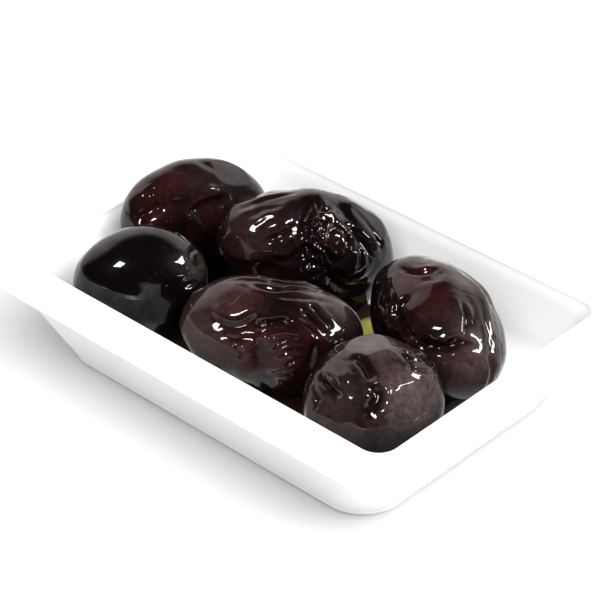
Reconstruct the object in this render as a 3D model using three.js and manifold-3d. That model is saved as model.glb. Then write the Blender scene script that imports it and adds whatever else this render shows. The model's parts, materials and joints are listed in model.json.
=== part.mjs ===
// A small white porcelain dish that holds six large wrinkled black olives in a shallow pool of oil.
// Millimetres, +Z up. The origin is the middle of the foot, on the table; +X runs along the dish.
import * as THREE from 'three';
import { mergeVertices } from 'three/addons/utils/BufferGeometryUtils.js';
import Module from 'manifold-3d';

const wasm = await Module();
wasm.setup();

// The dish: half lengths and half widths of its outlines, with their corner radii.
const OPENING = { length: 35.5, width: 23.8, corner: 3 };
const FOOT = { length: 31.65, width: 21.9, corner: 7 };
const FLOOR = { length: 27.8, width: 16.9, corner: 2 };
const RIM_HEIGHT = 16;
const FLOOR_HEIGHT = 3.5;
const FLANGE_WIDTH = 6;
const FLANGE_THICKNESS = 2.6;
const FLANGE_TOP_ROUND = 1.1;
const FLANGE_UNDER_ROUND = 0.8;
const OPENING_ROUND = 0.6;
const WALL_TOP_OUTSET = 2.4;
const COVE_RADIUS = 1.6;
const FOOT_ROUND = 0.9;
const FLOOR_FILLET = 5;
const FILLET_SWEEP = 72;
const FILLET_STEPS = 4;
const EDGE_STEPS = 3;
const RIM_EDGE_STEPS = 4;
const OUTER_WALL_SHARES = [0.35, 0.7];
const INNER_WALL_SHARES = [0.55, 0];
const CORNER_STEPS = 8;

// The oil lies on the floor between the olives and keeps clear of them and of the dish.
const GAP = 0.3;
const POOL = { length: 27.6, width: 16, corner: 10 };
const POOL_SHIFT = -0.8;
const POOL_DEPTH = 1.1;
const POOL_EDGE = [[0, 0], [0.1, 0.35], [0.5, 0.75], [1.2, 1]];
const OIL_CLEARANCE = 0.44;

// The olives' skin.
const SKIN_DETAIL = 8;
const HOLLOW_DETAIL = 6;
const SWELL_RADIUS = 5.5;
const FLAT_SOFTNESS = 0.85;
const FOLD_STEPS = 8;
const FOLD_LIP = 0.35;
const FOLD_LIP_OFFSET = 2;
const FOLD_TAPER = 0.25;
const PUCKER_WAVES = 9;
const PUCKER_LENGTH = [4.6, 7.5];
const PUCKER_SEED = 41;
const RANDOM_FACTOR = 1664525;
const RANDOM_SHIFT = 1013904223;
const RANDOM_RANGE = 2 ** 32;

// Each olive lies with its long axis along its own X. A place on the skin is named by two angles:
// how far along it lies from the waist to the tips, and how far round it lies from the olive's side.
// swells: along, round, height. flats: along, round, inset. knobs: along, round, radius, height.
// folds: three places that the crease runs by, then its depth and its half width.
const OLIVES = [
  {
    name: 'olive_back_left',
    at: [-26.65, 4.12],
    half: [12.53, 6.6, 9.34],
    turn: { yaw: 70.5, tilt: -15.9, roll: -11.1 },
    pucker: 0.1,
    swells: [[-61, 48, 0.28], [-33, 79, 0.08], [4, 80, 0.3]],
    flats: [[11, 123, 0.35]],
    knobs: [[-8, 181, 4, -0.4]],
    folds: [
      [-22, 168, -11, 157, 13, 149, 1.1, 1.5],
      [-72, 181, -57, 156, -41, 145, 0.59, 1.2],
      [-42, 142, -30, 146, -16, 144, 0.45, 1.2],
    ],
  },
  {
    name: 'olive_left',
    at: [-21.3, -12.9],
    half: [9.96, 7.48, 8.61],
    turn: { yaw: 52.5, tilt: 3.6, roll: -1.8 },
    pucker: 0.03,
    swells: [[-30, 78, -0.29], [9, 63, 0.19], [-62, 90, 0.4]],
    flats: [[9, 184, 0.3]],
    knobs: [[24, 238, 3.6, 1]],
    folds: [[53, 96, 57, 119, 57, 147, 0.45, 1.3]],
  },
  {
    name: 'olive_back_middle',
    at: [-8.58, 9.13],
    half: [13.65, 8.39, 9.23],
    turn: { yaw: 49.8, tilt: -15.4, roll: 11.4 },
    pucker: 0.12,
    swells: [[-36, 66, -0.48], [-67, 31, 0.27], [-53, 208, -0.4], [-3, 51, 0.24], [33, 58, 0.45]],
    flats: [[24, 98, 0.2]],
    knobs: [[10, 133, 2.4, 0.4], [-15, 155, 2.2, -0.35], [-39, 124, 4, 0.2], [40, 217, 3.4, 1.4]],
    folds: [
      [-2, 72, -13, 118, -6, 165, 1.04, 1.4],
      [-61, 218, -41, 182, -17, 156, 0.59, 1.2],
      [8, 82, 20, 103, 36, 143, 0.65, 1.2],
      [4, 150, 21, 175, 44, 171, 0.59, 1.2],
      [-37, 145, -25, 130, -16, 111, 0.39, 1.2],
    ],
  },
  {
    name: 'olive_front_middle',
    at: [1.32, -8.84],
    half: [13.27, 8.98, 8.25],
    turn: { yaw: 33.6, tilt: -3, roll: -13.7 },
    pucker: 0.08,
    swells: [[-4, 84, -0.4], [-35, 71, 0.24], [41, 64, 0.13]],
    flats: [[-22, 181, 0.3]],
    knobs: [[18, 172, 3.4, 0.55], [19, 117, 2.5, 0.2], [18, 247, 3.4, 1], [72, 56, 3.5, 0.4]],
    folds: [
      [-37, 137, -21, 150, -1, 131, 0.78, 1.3],
      [-11, 156, 6, 145, 34, 150, 0.78, 1.2],
      [-4, 130, 15, 127, 40, 144, 0.78, 1.2],
      [2, 161, 1, 186, 5, 231, 0.91, 1.3],
      [32, 159, 34, 178, 28, 199, 0.65, 1.2],
    ],
  },
  {
    name: 'olive_right',
    at: [18.81, 7.99],
    half: [12.35, 8.48, 8.77],
    turn: { yaw: 157.7, tilt: 6.4, roll: 1.6 },
    pucker: 0.1,
    swells: [[-39, 152, -0.4], [-53, 194, 0.6], [-18, 151, 0.16]],
    flats: [[8, 61, 0.35]],
    knobs: [[-21, 58, 4, 0.45], [-70, 43, 3.3, 0.6], [28, 350, 4, 0.5], [56, 38, 4, 1.2]],
    folds: [
      [42, 64, 14, 75, 14, 100, 0.65, 1.2],
      [-1, 63, 1, 36, -23, 29, 0.65, 1.2],
      [-23, 28, -43, 43, -45, 81, 0.72, 1.2],
      [-45, 81, -30, 102, -5, 98, 0.45, 1.2],
      [2, 121, -35, 114, -70, 125, 0.45, 1.2],
    ],
  },
  {
    name: 'olive_front',
    at: [23.82, -11.85],
    half: [10.45, 9.35, 8.58],
    turn: { yaw: 83.1, tilt: -2.4, roll: 19.9 },
    pucker: 0.12,
    swells: [[12, 33, 0.5], [26, 69, -0.4], [-17, 28, -0.35], [51, 101, 0.18]],
    flats: [[2, 58, 0.6], [-2, 86, 0.5], [-22, 54, 0.45], [2, 124, 0.4], [-59, 91, 0.4]],
    knobs: [[-31, 53, 2.5, -0.2]],
    folds: [
      [-12, 52, -17, 80, -21, 99, 0.85, 1.2],
      [-21, 99, -30, 115, -45, 127, 0.78, 1.2],
      [-38, 29, -50, 64, -49, 93, 0.59, 1.2],
      [22, 75, 21, 87, 16, 99, 0.45, 1.2],
      [40, 70, 37, 89, 33, 106, 0.45, 1.2],
    ],
  },
];

function porcelain() {
  return new THREE.MeshStandardMaterial({ color: 0xf7f7f5, roughness: 0.12, metalness: 0 });
}

function oliveSkin() {
  return new THREE.MeshStandardMaterial({ color: 0x1d100f, roughness: 0.2, metalness: 0 });
}

function oil() {
  return new THREE.MeshStandardMaterial({ color: 0xc9c56a, roughness: 0.08, metalness: 0 });
}

function mix(from, to, share) {
  return from + (to - from) * share;
}

function outlineBetween(inner, outer, share) {
  return {
    length: mix(inner.length, outer.length, share),
    width: mix(inner.width, outer.width, share),
    corner: mix(inner.corner, outer.corner, share),
  };
}

function outset(outline, distance) {
  return {
    length: outline.length + distance,
    width: outline.width + distance,
    corner: outline.corner + distance,
  };
}

// A rounded rectangle at one height, run anticlockwise as seen from above.
function ring(outline, height) {
  const points = [];
  for (let quarter = 0; quarter < 4; quarter += 1) {
    const signX = quarter === 0 || quarter === 3 ? 1 : -1;
    const signY = quarter < 2 ? 1 : -1;
    for (let step = 0; step <= CORNER_STEPS; step += 1) {
      const angle = (quarter + step / CORNER_STEPS) * Math.PI / 2;
      const x = signX * (outline.length - outline.corner) + outline.corner * Math.cos(angle);
      const y = signY * (outline.width - outline.corner) + outline.corner * Math.sin(angle);
      points.push(new THREE.Vector3(x, y, height));
    }
  }
  return points;
}

// A closed solid skinned over a run of rings, with a fan at each end.
function skinned(rings) {
  const positions = [];
  const add = (...corners) => corners.forEach((corner) => positions.push(...corner.toArray()));
  const first = rings[0];
  const last = rings[rings.length - 1];
  const firstMiddle = new THREE.Vector3(0, 0, first[0].z);
  const lastMiddle = new THREE.Vector3(0, 0, last[0].z);
  const count = first.length;
  for (let index = 0; index < count; index += 1) {
    const next = (index + 1) % count;
    add(firstMiddle, first[next], first[index]);
    add(lastMiddle, last[index], last[next]);
    for (let level = 0; level < rings.length - 1; level += 1) {
      const below = rings[level];
      const above = rings[level + 1];
      add(below[index], below[next], above[next]);
      add(below[index], above[next], above[index]);
    }
  }
  const geometry = new THREE.BufferGeometry();
  geometry.setAttribute('position', new THREE.Float32BufferAttribute(positions, 3));
  return mergeVertices(geometry);
}

// Points of an arc as pairs of outset and height, from one angle to another in degrees.
function arc(outsetCentre, heightCentre, radius, from, to, steps) {
  const points = [];
  for (let step = 0; step <= steps; step += 1) {
    const angle = THREE.MathUtils.degToRad(mix(from, to, step / steps));
    points.push([outsetCentre + radius * Math.cos(angle), heightCentre + radius * Math.sin(angle)]);
  }
  return points;
}

function footRings() {
  return arc(-FOOT_ROUND, FOOT_ROUND, FOOT_ROUND, -90, 0, EDGE_STEPS)
    .map(([distance, height]) => ring(outset(FOOT, distance), height));
}

// The wall flares from the foot, then a cove turns it out under the flange.
function outerWallRings() {
  const wallTop = outset(OPENING, WALL_TOP_OUTSET);
  const coveStart = RIM_HEIGHT - FLANGE_THICKNESS - COVE_RADIUS;
  const coveMiddle = WALL_TOP_OUTSET + COVE_RADIUS;
  const wall = OUTER_WALL_SHARES
    .map((share) => ring(outlineBetween(FOOT, wallTop, share), mix(FOOT_ROUND, coveStart, share)));
  const cove = arc(coveMiddle, coveStart, COVE_RADIUS, 180, 90, EDGE_STEPS)
    .map(([distance, height]) => ring(outset(OPENING, distance), height));
  return [...wall, ...cove];
}

function flangeRings() {
  const underside = RIM_HEIGHT - FLANGE_THICKNESS;
  const underCentre = FLANGE_WIDTH - FLANGE_UNDER_ROUND;
  const topCentre = FLANGE_WIDTH - FLANGE_TOP_ROUND;
  const edge = [
    ...arc(underCentre, underside + FLANGE_UNDER_ROUND, FLANGE_UNDER_ROUND, -90, 0, EDGE_STEPS),
    ...arc(topCentre, RIM_HEIGHT - FLANGE_TOP_ROUND, FLANGE_TOP_ROUND, 0, 90, RIM_EDGE_STEPS),
    ...arc(OPENING_ROUND, RIM_HEIGHT - OPENING_ROUND, OPENING_ROUND, 90, 180, EDGE_STEPS),
  ];
  return edge.map(([distance, height]) => ring(outset(OPENING, distance), height));
}

// How far the fillet has risen from the flat floor at an angle up its sweep.
function filletRise(degrees) {
  return FLOOR_FILLET * (1 - Math.cos(THREE.MathUtils.degToRad(degrees)));
}

// The inside of the wall: how far it has spread from the flat floor at a height above the floor,
// as a share of its whole spread. A fillet leads into a straight wall up to the opening.
function innerSpread(rise) {
  const spread = OPENING.length - FLOOR.length;
  const filletTop = filletRise(FILLET_SWEEP);
  if (rise < filletTop) {
    return FLOOR_FILLET * Math.sin(Math.acos(1 - rise / FLOOR_FILLET)) / spread;
  }
  const filletSpread = FLOOR_FILLET * Math.sin(THREE.MathUtils.degToRad(FILLET_SWEEP));
  const wallShare = (rise - filletTop) / (RIM_HEIGHT - FLOOR_HEIGHT - filletTop);
  return mix(filletSpread / spread, 1, wallShare);
}

function insideRing(rise) {
  return ring(outlineBetween(FLOOR, OPENING, innerSpread(rise)), FLOOR_HEIGHT + rise);
}

function insideRings() {
  const top = RIM_HEIGHT - OPENING_ROUND - FLOOR_HEIGHT;
  const rings = INNER_WALL_SHARES.map((share) => insideRing(mix(filletRise(FILLET_SWEEP), top, share)));
  for (let step = FILLET_STEPS - 1; step >= 0; step -= 1) {
    rings.push(insideRing(filletRise(FILLET_SWEEP * step / FILLET_STEPS)));
  }
  return rings;
}

function dish() {
  const geometry = skinned([...footRings(), ...outerWallRings(), ...flangeRings(), ...insideRings()]);
  const mesh = new THREE.Mesh(geometry, porcelain());
  mesh.name = 'dish';
  return mesh;
}

// A small repeatable random source.
function randomSource(seed) {
  let state = seed;
  return () => {
    state = (state * RANDOM_FACTOR + RANDOM_SHIFT) % RANDOM_RANGE;
    return state / RANDOM_RANGE;
  };
}

function placeOnBall(along, round) {
  const a = THREE.MathUtils.degToRad(along);
  const r = THREE.MathUtils.degToRad(round);
  return new THREE.Vector3(Math.sin(a), Math.cos(a) * Math.cos(r), Math.cos(a) * Math.sin(r));
}

function puckerWaves(random) {
  const waves = [];
  for (let index = 0; index < PUCKER_WAVES; index += 1) {
    const direction = placeOnBall(Math.asin(2 * random() - 1) * 180 / Math.PI, 360 * random());
    const length = mix(PUCKER_LENGTH[0], PUCKER_LENGTH[1], random());
    waves.push({ direction, step: 2 * Math.PI / length, phase: 2 * Math.PI * random() });
  }
  return waves;
}

// The crease's line as points on the olive, bowed through its middle place.
function foldLine(fold, half) {
  const [start, middle, end] = [0, 2, 4].map((index) => placeOnBall(fold[index], fold[index + 1]));
  const bend = middle.clone().multiplyScalar(2).addScaledVector(start, -0.5).addScaledVector(end, -0.5);
  const points = [];
  for (let step = 0; step <= FOLD_STEPS; step += 1) {
    const share = step / FOLD_STEPS;
    const point = start.clone().multiplyScalar((1 - share) ** 2)
      .addScaledVector(bend, 2 * share * (1 - share))
      .addScaledVector(end, share ** 2);
    points.push(point.normalize().multiply(half));
  }
  return points;
}

// The nearest distance to a line of points, and how far along the line that is.
function nearestOnLine(point, line) {
  const segment = new THREE.Line3();
  const foot = new THREE.Vector3();
  let best = { distance: Infinity, share: 0 };
  for (let index = 0; index < line.length - 1; index += 1) {
    segment.set(line[index], line[index + 1]);
    const share = segment.closestPointToPointParameter(point, true);
    const distance = segment.at(share, foot).distanceTo(point);
    if (distance < best.distance) {
      best = { distance, share: (index + share) / (line.length - 1) };
    }
  }
  return best;
}

function bell(distance, radius) {
  return Math.exp(-((distance / radius) ** 2));
}

// The relief of one crease: a valley with a raised lip on each side, fading at both ends.
function foldRelief(point, line, depth, halfWidth) {
  const { distance, share } = nearestOnLine(point, line);
  const fade = THREE.MathUtils.smoothstep(Math.min(share, 1 - share), 0, FOLD_TAPER);
  const lip = FOLD_LIP * bell(distance - FOLD_LIP_OFFSET * halfWidth, halfWidth);
  return depth * fade * (lip - bell(distance, halfWidth));
}

function oliveGeometry(olive, waves, detail) {
  const half = new THREE.Vector3(...olive.half);
  const lines = olive.folds.map((fold) => foldLine(fold, half));
  const geometry = new THREE.IcosahedronGeometry(1, detail);
  geometry.deleteAttribute('normal');
  geometry.deleteAttribute('uv');
  const merged = mergeVertices(geometry);
  const position = merged.getAttribute('position');
  const direction = new THREE.Vector3();
  for (let index = 0; index < position.count; index += 1) {
    direction.fromBufferAttribute(position, index).normalize();
    const base = direction.clone().multiply(half);
    const outward = direction.clone().divide(half).normalize();
    let relief = 0;
    for (const [along, round, height] of olive.swells) {
      relief += height * bell(base.distanceTo(placeOnBall(along, round).multiply(half)), SWELL_RADIUS);
    }
    for (const [along, round, radius, height] of olive.knobs) {
      relief += height * bell(base.distanceTo(placeOnBall(along, round).multiply(half)), radius);
    }
    for (const wave of waves) {
      const swing = Math.sin(base.dot(wave.direction) * wave.step + wave.phase);
      relief += olive.pucker * swing / Math.sqrt(PUCKER_WAVES);
    }
    lines.forEach((line, fold) => {
      const [depth, halfWidth] = olive.folds[fold].slice(6);
      relief += foldRelief(base, line, depth, halfWidth);
    });
    base.addScaledVector(outward, relief);
    for (const [along, round, inset] of olive.flats) {
      const facing = placeOnBall(along, round);
      const reach = facing.clone().multiply(half).length() - inset;
      const excess = Math.max(0, base.dot(facing) - reach);
      base.addScaledVector(facing, -FLAT_SOFTNESS * excess);
    }
    position.setXYZ(index, base.x, base.y, base.z);
  }
  return merged;
}

// The olive is turned as it lies and let down until its lowest point is just clear of the floor.
function oliveMesh(olive, waves) {
  const mesh = new THREE.Mesh(oliveGeometry(olive, waves, SKIN_DETAIL), oliveSkin());
  const { yaw, tilt, roll } = olive.turn;
  const toRadians = THREE.MathUtils.degToRad;
  mesh.name = olive.name;
  mesh.rotation.set(toRadians(roll), toRadians(-tilt), toRadians(yaw), 'ZYX');
  mesh.position.set(olive.at[0], olive.at[1], 0);
  mesh.updateMatrixWorld(true);
  const lowest = new THREE.Box3().setFromObject(mesh, true).min.z;
  mesh.position.z = FLOOR_HEIGHT + GAP - lowest;
  mesh.updateMatrixWorld(true);
  return mesh;
}

function toManifold(geometry) {
  const vertProperties = new Float32Array(geometry.getAttribute('position').array);
  const triVerts = new Uint32Array(geometry.getIndex().array);
  return new wasm.Manifold(new wasm.Mesh({ numProp: 3, vertProperties, triVerts }));
}

function fromManifold(solid) {
  const { vertProperties, triVerts } = solid.getMesh();
  const geometry = new THREE.BufferGeometry();
  geometry.setAttribute('position', new THREE.BufferAttribute(new Float32Array(vertProperties), 3));
  geometry.setIndex(new THREE.BufferAttribute(new Uint32Array(triVerts), 1));
  return geometry;
}

// The olive's own shape in coarser facets, grown all round by the oil's clearance, where it lies.
function oliveHollow(olive, waves, mesh) {
  const grown = oliveGeometry(olive, waves, HOLLOW_DETAIL);
  grown.computeVertexNormals();
  const position = grown.getAttribute('position');
  const normal = grown.getAttribute('normal');
  const point = new THREE.Vector3();
  const outward = new THREE.Vector3();
  for (let index = 0; index < position.count; index += 1) {
    point.fromBufferAttribute(position, index);
    outward.fromBufferAttribute(normal, index);
    point.addScaledVector(outward, OIL_CLEARANCE);
    position.setXYZ(index, point.x, point.y, point.z);
  }
  grown.deleteAttribute('normal');
  return grown.applyMatrix4(mesh.matrixWorld);
}

// A shallow pool with a rounded edge, cut away round the olives.
function oilPool(hollows) {
  const rings = POOL_EDGE
    .map(([inset, share]) => ring(outset(POOL, -inset), FLOOR_HEIGHT + GAP + POOL_DEPTH * share));
  let pool = toManifold(skinned(rings).translate(0, POOL_SHIFT, 0));
  for (const hollow of hollows) {
    pool = pool.subtract(toManifold(hollow));
  }
  const mesh = new THREE.Mesh(fromManifold(pool), oil());
  mesh.name = 'oil';
  return mesh;
}

const random = randomSource(PUCKER_SEED);
const waves = OLIVES.map(() => puckerWaves(random));
const olives = OLIVES.map((olive, index) => oliveMesh(olive, waves[index]));
const hollows = OLIVES.map((olive, index) => oliveHollow(olive, waves[index], olives[index]));
const dishOfOlives = new THREE.Group();
dishOfOlives.add(dish(), oilPool(hollows), ...olives);

export default dishOfOlives;
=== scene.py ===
import json
import math

import bmesh
import bpy
import numpy as np
from bpy.props import FloatProperty, FloatVectorProperty, IntProperty, PointerProperty
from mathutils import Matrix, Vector

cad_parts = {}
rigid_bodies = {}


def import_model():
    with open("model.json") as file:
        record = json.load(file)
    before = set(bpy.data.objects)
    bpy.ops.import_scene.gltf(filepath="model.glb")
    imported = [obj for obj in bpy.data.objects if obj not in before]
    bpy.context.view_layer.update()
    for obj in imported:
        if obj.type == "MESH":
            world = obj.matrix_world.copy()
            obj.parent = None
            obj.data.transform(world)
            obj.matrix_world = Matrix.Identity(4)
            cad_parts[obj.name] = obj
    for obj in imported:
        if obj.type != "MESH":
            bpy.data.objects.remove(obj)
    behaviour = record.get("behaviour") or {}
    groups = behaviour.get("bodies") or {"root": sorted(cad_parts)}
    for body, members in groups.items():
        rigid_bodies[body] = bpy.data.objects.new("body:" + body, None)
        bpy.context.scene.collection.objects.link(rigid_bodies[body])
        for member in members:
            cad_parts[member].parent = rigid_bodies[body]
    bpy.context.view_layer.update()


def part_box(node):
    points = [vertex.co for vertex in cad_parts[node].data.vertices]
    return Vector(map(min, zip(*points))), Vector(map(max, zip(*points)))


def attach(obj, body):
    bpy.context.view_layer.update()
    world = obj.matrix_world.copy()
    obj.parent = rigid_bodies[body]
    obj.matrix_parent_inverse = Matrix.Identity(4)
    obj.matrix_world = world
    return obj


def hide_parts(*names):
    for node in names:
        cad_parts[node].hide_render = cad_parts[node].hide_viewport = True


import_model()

bl_info = {
    "name": "Dish of Olives",
    "version": (1, 0, 0),
    "blender": (4, 5, 0),
    "location": "View3D > Sidebar > Olives",
    "description": "Makes a porcelain dish with six wrinkled black olives in a little oil",
    "category": "Add Mesh",
}

MM = 0.001

# The dish's outlines in millimetres: half length, half width and corner radius.
OPENING = (35.5, 23.8, 3.0)
FOOT = (31.65, 21.9, 7.0)
FLOOR = (27.8, 16.9, 2.0)
# The rest of the dish's section in millimetres, and the sweep of its floor's fillet in degrees.
FOOT_ROUND = 0.9
WALL_TOP_OUTSET = 2.4
COVE_RADIUS = 1.6
FLANGE_THICKNESS = 2.6
FLANGE_TOP_ROUND = 1.1
FLANGE_UNDER_ROUND = 0.8
OPENING_ROUND = 0.6
RIM_SHOULDER = 0.35
FLOOR_FILLET = 5.0
FILLET_SWEEP = 72.0
FILLET_STEPS = 14
SLUMP_SIZE = 45.0
SLUMP_SEED = 3.0
# The rim's two marks: their places in mm.
SPECK = (0.9, -27.7, 15.9)
STAIN = (-6.9, 26.1, 16.0)

# The oil in millimetres: outline, shift along Y, round edge, and how far it sinks into the glaze.
POOL = (27.6, 16.0, 10.0)
POOL_SHIFT = -0.8
POOL_EDGE = 1.4
POOL_SINK = 0.12
POOL_STEPS = 320
POOL_WANDER_SIZE = 6.5
WATERLINE_REACH = 0.35
# Where the oil is clear, free of the painted shade that darkens it round the olives where the gaps
# between them lie in shade: place and reach in mm.
UNSHADED_OIL_SPOTS = ((5.2, 10.2, 3.3), (27.0, 12.5, 5.5), (27.5, -1.0, 3.5))
UNSHADED_OIL_FADE = 0.7

# The olives' relief: lengths in millimetres, and shares of a line or a depth.
SWELL_RADIUS = 5.5
FLAT_SOFTNESS = 0.85
FOLD_LIP = 0.35
FOLD_TAPER = 0.25
FOLD_STEPS = 12
CREASE_TAPER = 0.35
CREASE_STEPS = 16
CREASE_WANDER = 0.22
CREASE_WANDER_SIZE = 2.2
FULL_CREASE = 0.5
LEDGE_REACH = 5.0
NET_SIZE = 4.4
NET_LEVEL = 0.3
# How strongly the nets' wrinkles are darkened with painted shade.
NET_DARKNESS = 4
FINE_NET_SIZE = 4.6
FINE_NET_STRETCH = (0.7, 1.15, 1.15)
FINE_NET_SHARE = 0.2
PATCH_SIZE = 7.5
PUCKER_WAVES = 9
PUCKER_LENGTH = (4.6, 7.5)
PUCKER_SEED = 41

# The stage. The camera's lens, sensor and target are in mm, and the table in metres.
LENS = 151.6
SENSOR = 36.0
VIEW_TARGET = (-14.398, 13.375, 0.0)
TABLE_HALF = 3
# Turn and height in degrees, and for lights also distance and size in metres and power in watts.
BACKDROP = (43 + 180, 10)
SPARKLES = {"key": (125, 33, 0.6, 0.15, 2.9), "fill": (-3, 51, 0.6, 0.12, 2.0)}
PANELS = {"top": (43, 68, 1.0, 1.4, 24.0), "side": (116, 38, 0.8, 0.5, 6.0)}
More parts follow.
